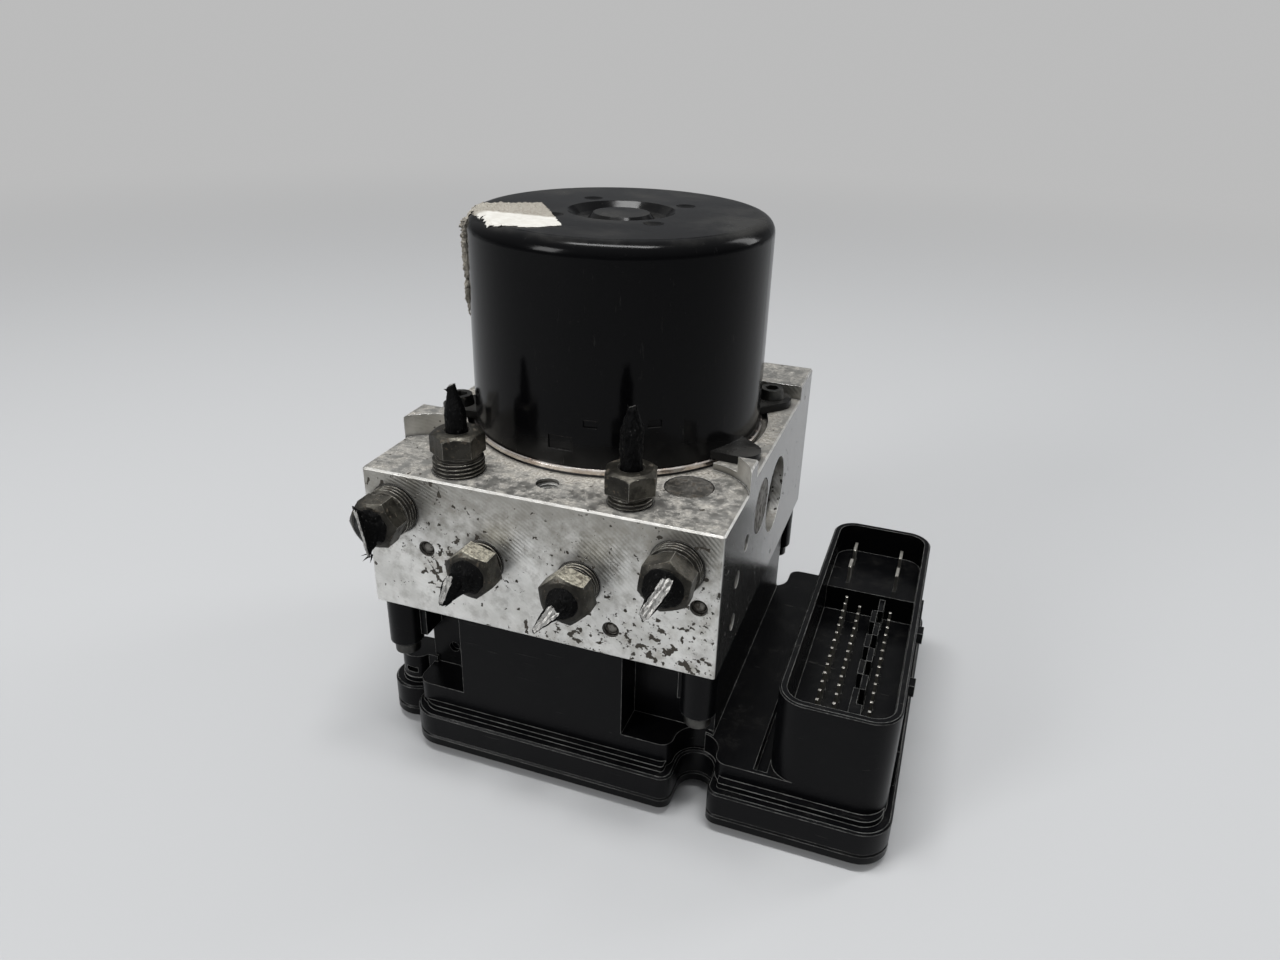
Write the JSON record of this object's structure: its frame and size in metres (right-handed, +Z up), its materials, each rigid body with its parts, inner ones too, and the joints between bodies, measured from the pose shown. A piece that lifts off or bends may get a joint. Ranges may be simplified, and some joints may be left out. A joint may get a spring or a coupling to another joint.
{
  "type": "anti-lock brake module",
  "caption": "Anti-lock brake module: valve block with pump motor on top, control unit with upright connector below, cut brake pipes in its ports.",
  "frame": {"origin": "underside of the control unit cover, on the axis of the pump motor", "axes": "+Z up along the motor axis, -Y towards the side with the four pipe ports, +X towards the connector"},
  "size_m": [0.1341, 0.1127, 0.1324],
  "materials": {
    "block_aluminium": "machined, stained",
    "plug_steel": "dull",
    "can_paint": "gloss black",
    "seal_rubber": "matt",
    "plated_ring": "bright, coppery",
    "plated_steel": "satin",
    "nut_steel": "dull, stained",
    "pipe_coating": "black, cut bright",
    "housing_plastic": "satin black",
    "cover_plastic": "satin black",
    "carbon": "matt",
    "spring_steel": "ground",
    "core_steel": "laminated",
    "copper": "enamelled",
    "ferrite": "matt",
    "bronze": "sintered",
    "piston_aluminium": "anodised",
    "pin_metal": "tinned",
    "board": "satin",
    "paper": "torn, matt"
  },
  "bodies": {
    "root": {"accumulator_cap_left": "plug_steel", "accumulator_cap_right": "plug_steel", "accumulator_spring_left": "spring_steel", "accumulator_spring_right": "spring_steel", "brush_holder": "housing_plastic", "brush_springs": "spring_steel", "brushes": "carbon", "channel_plugs": "plug_steel", "circuit_board": "board", "damper_plug": "plug_steel", "ecu_cover": "cover_plastic", "ecu_housing": "housing_plastic", "ecu_screws": "plated_steel", "ecu_seal": "seal_rubber", "label_remnant": "paper", "lower_bearing": "spring_steel", "magnets": "ferrite", "motor_can": "can_paint", "motor_end_plate": "plated_ring", "motor_gasket": "seal_rubber", "motor_lead": "housing_plastic", "motor_screws": "plated_steel", "motor_terminals": "pin_metal", "pipe_nut_front_1": "nut_steel", "pipe_nut_front_2": "nut_steel", "pipe_nut_front_3": "nut_steel", "pipe_nut_front_4": "nut_steel", "pipe_nut_top_1": "nut_steel", "pipe_nut_top_2": "nut_steel", "pipe_stub_front_1": "pipe_coating", "pipe_stub_front_2": "pipe_coating", "pipe_stub_front_3": "pipe_coating", "pipe_stub_front_4": "pipe_coating", "pipe_stub_top_1": "pipe_coating", "pipe_stub_top_2": "pipe_coating", "power_blades": "pin_metal", "pump_plug_left": "plug_steel", "pump_plug_right": "plug_steel", "pump_sleeve_left": "spring_steel", "pump_sleeve_right": "spring_steel", "pump_spring_left": "spring_steel", "pump_spring_right": "spring_steel", "rear_bearing": "bronze", "shaft_bearing": "spring_steel", "signal_pins": "pin_metal", "solenoid_coils": "copper", "solenoid_valves": "plug_steel", "top_plug": "plug_steel", "valve_block": "block_aluminium"},
    "rotor": {"motor_shaft": "spring_steel", "cam_ring": "spring_steel", "rotor_core": "core_steel", "rotor_windings": "copper", "commutator": "copper"},
    "pump_piston_left": {"pump_piston_left": "spring_steel"},
    "accumulator_piston_left": {"accumulator_piston_left": "piston_aluminium"},
    "pump_piston_right": {"pump_piston_right": "spring_steel"},
    "accumulator_piston_right": {"accumulator_piston_right": "piston_aluminium"}
  },
  "joints": [
    {"name": "rotor_spin", "type": "hinge", "parent": "root", "child": "rotor", "pos_m": [0, 0, 0.0642], "axis": [0, 0, 1], "continuous": true},
    {"name": "pump_stroke_left", "type": "slide", "parent": "root", "child": "pump_piston_left", "axis": [-1, 0, 0], "range_m": [0, 0.0024], "deforming": ["pump_spring_left"]},
    {"name": "pump_stroke_right", "type": "slide", "parent": "root", "child": "pump_piston_right", "axis": [1, 0, 0], "range_m": [0, 0.0024], "deforming": ["pump_spring_right"]},
    {"name": "accumulator_stroke_left", "type": "slide", "parent": "root", "child": "accumulator_piston_left", "axis": [0, 1, 0], "range_m": [0, 0.004], "deforming": ["accumulator_spring_left"]},
    {"name": "accumulator_stroke_right", "type": "slide", "parent": "root", "child": "accumulator_piston_right", "axis": [0, 1, 0], "range_m": [0, 0.004], "deforming": ["accumulator_spring_right"]}
  ]
}
